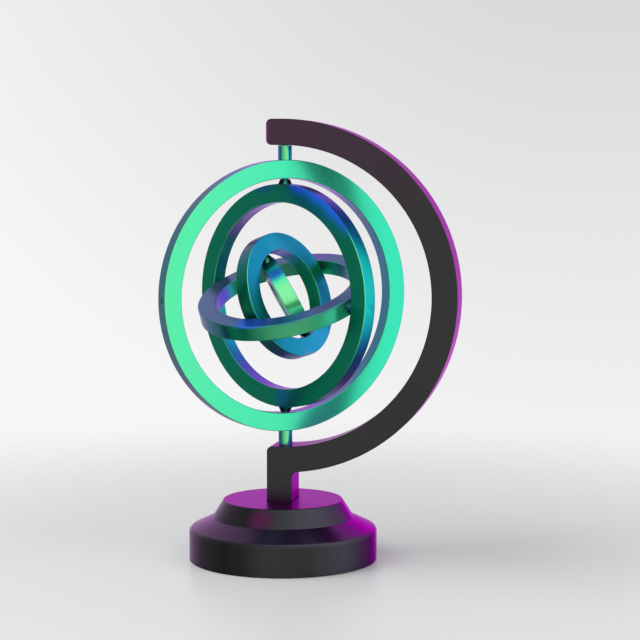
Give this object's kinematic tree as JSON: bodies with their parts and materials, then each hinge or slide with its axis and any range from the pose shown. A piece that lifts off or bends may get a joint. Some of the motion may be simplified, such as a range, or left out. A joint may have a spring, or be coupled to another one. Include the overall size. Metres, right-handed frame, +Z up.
{
  "type": "kinetic gyroscope",
  "caption": "Desk gyroscope of nested pivoting rings held in a C-shaped arm on a round weighted base.",
  "frame": {"origin": "middle of the base on the table, under the rubber foot", "axes": "+Z up, +X towards the bow of the C-shaped arm, +Y square to the arm's plane"},
  "size_m": [0.1921, 0.1286, 0.3],
  "materials": {
    "stand_black": "satin black lacquer that shifts to magenta at a grazing angle",
    "ring_colour_shift": "polished, with a vacuum coat that shifts from green through blue to violet",
    "pivot_colour_shift": "polished, with the same colour-shift coat",
    "bush_brass": "turned",
    "screw_steel": "zinc plated",
    "plate_steel": "black oxide",
    "ballast_iron": "as cast, machined on the flats",
    "foot_rubber": "matte"
  },
  "bodies": {
    "stand": {"base_shell": "stand_black", "ballast_ring": "ballast_iron", "base_plate": "plate_steel", "foot_pad": "foot_rubber", "plate_screw_1": "screw_steel", "plate_screw_2": "screw_steel", "plate_screw_3": "screw_steel", "plate_screw_4": "screw_steel", "stand_arm": "stand_black", "post_bolt_1": "screw_steel", "post_bolt_2": "screw_steel", "post_washer_1": "screw_steel", "post_washer_2": "screw_steel", "upper_bush": "bush_brass", "arm_cap": "stand_black", "lower_bush": "bush_brass", "thrust_ball": "screw_steel"},
    "ring_one": {"ring_1": "ring_colour_shift", "spindle_upper": "pivot_colour_shift", "spindle_lower": "pivot_colour_shift", "side_plug_left": "pivot_colour_shift", "side_plug_right": "pivot_colour_shift", "ring_1_bush_a": "bush_brass", "ring_1_bush_b": "bush_brass"},
    "ring_two": {"ring_2": "ring_colour_shift", "ring_2_pin_a": "pivot_colour_shift", "ring_2_pin_b": "pivot_colour_shift", "ring_2_collar_a": "pivot_colour_shift", "ring_2_collar_b": "pivot_colour_shift", "ring_2_bush_a": "bush_brass", "ring_2_bush_b": "bush_brass", "ring_2_plug_a": "pivot_colour_shift", "ring_2_plug_b": "pivot_colour_shift"},
    "ring_three": {"ring_3": "ring_colour_shift", "ring_3_pin_a": "pivot_colour_shift", "ring_3_pin_b": "pivot_colour_shift", "ring_3_collar_a": "pivot_colour_shift", "ring_3_collar_b": "pivot_colour_shift", "ring_3_bush_a": "bush_brass", "ring_3_bush_b": "bush_brass", "ring_3_plug_a": "pivot_colour_shift", "ring_3_plug_b": "pivot_colour_shift"},
    "ring_four": {"ring_4": "ring_colour_shift", "ring_4_pin_a": "pivot_colour_shift", "ring_4_pin_b": "pivot_colour_shift", "ring_4_collar_a": "pivot_colour_shift", "ring_4_collar_b": "pivot_colour_shift", "ring_4_bush_a": "bush_brass", "ring_4_bush_b": "bush_brass", "ring_4_plug_a": "pivot_colour_shift", "ring_4_plug_b": "pivot_colour_shift"},
    "ring_five": {"ring_5": "ring_colour_shift", "ring_5_pin_a": "pivot_colour_shift", "ring_5_pin_b": "pivot_colour_shift", "ring_5_collar_a": "pivot_colour_shift", "ring_5_collar_b": "pivot_colour_shift"}
  },
  "joints": [
    {"name": "ring_one_spin", "type": "hinge", "parent": "stand", "child": "ring_one", "pos_m": [0.00175, 0, 0.1806], "axis": [0, 0, 1], "continuous": true},
    {"name": "ring_two_spin", "type": "hinge", "parent": "ring_one", "child": "ring_two", "pos_m": [0.00175, 0, 0.1806], "axis": [0, 0, 1], "continuous": true},
    {"name": "ring_three_spin", "type": "hinge", "parent": "ring_two", "child": "ring_three", "pos_m": [0.00175, 0, 0.1806], "axis": [0.8622, -0.5018, -0.0698], "continuous": true},
    {"name": "ring_four_spin", "type": "hinge", "parent": "ring_three", "child": "ring_four", "pos_m": [0.00175, 0, 0.1806], "axis": [-0.2913, -0.8846, -0.3641], "continuous": true},
    {"name": "ring_five_spin", "type": "hinge", "parent": "ring_four", "child": "ring_five", "pos_m": [0.00175, 0, 0.1806], "axis": [-0.4231, -0.2222, 0.8784], "continuous": true}
  ]
}
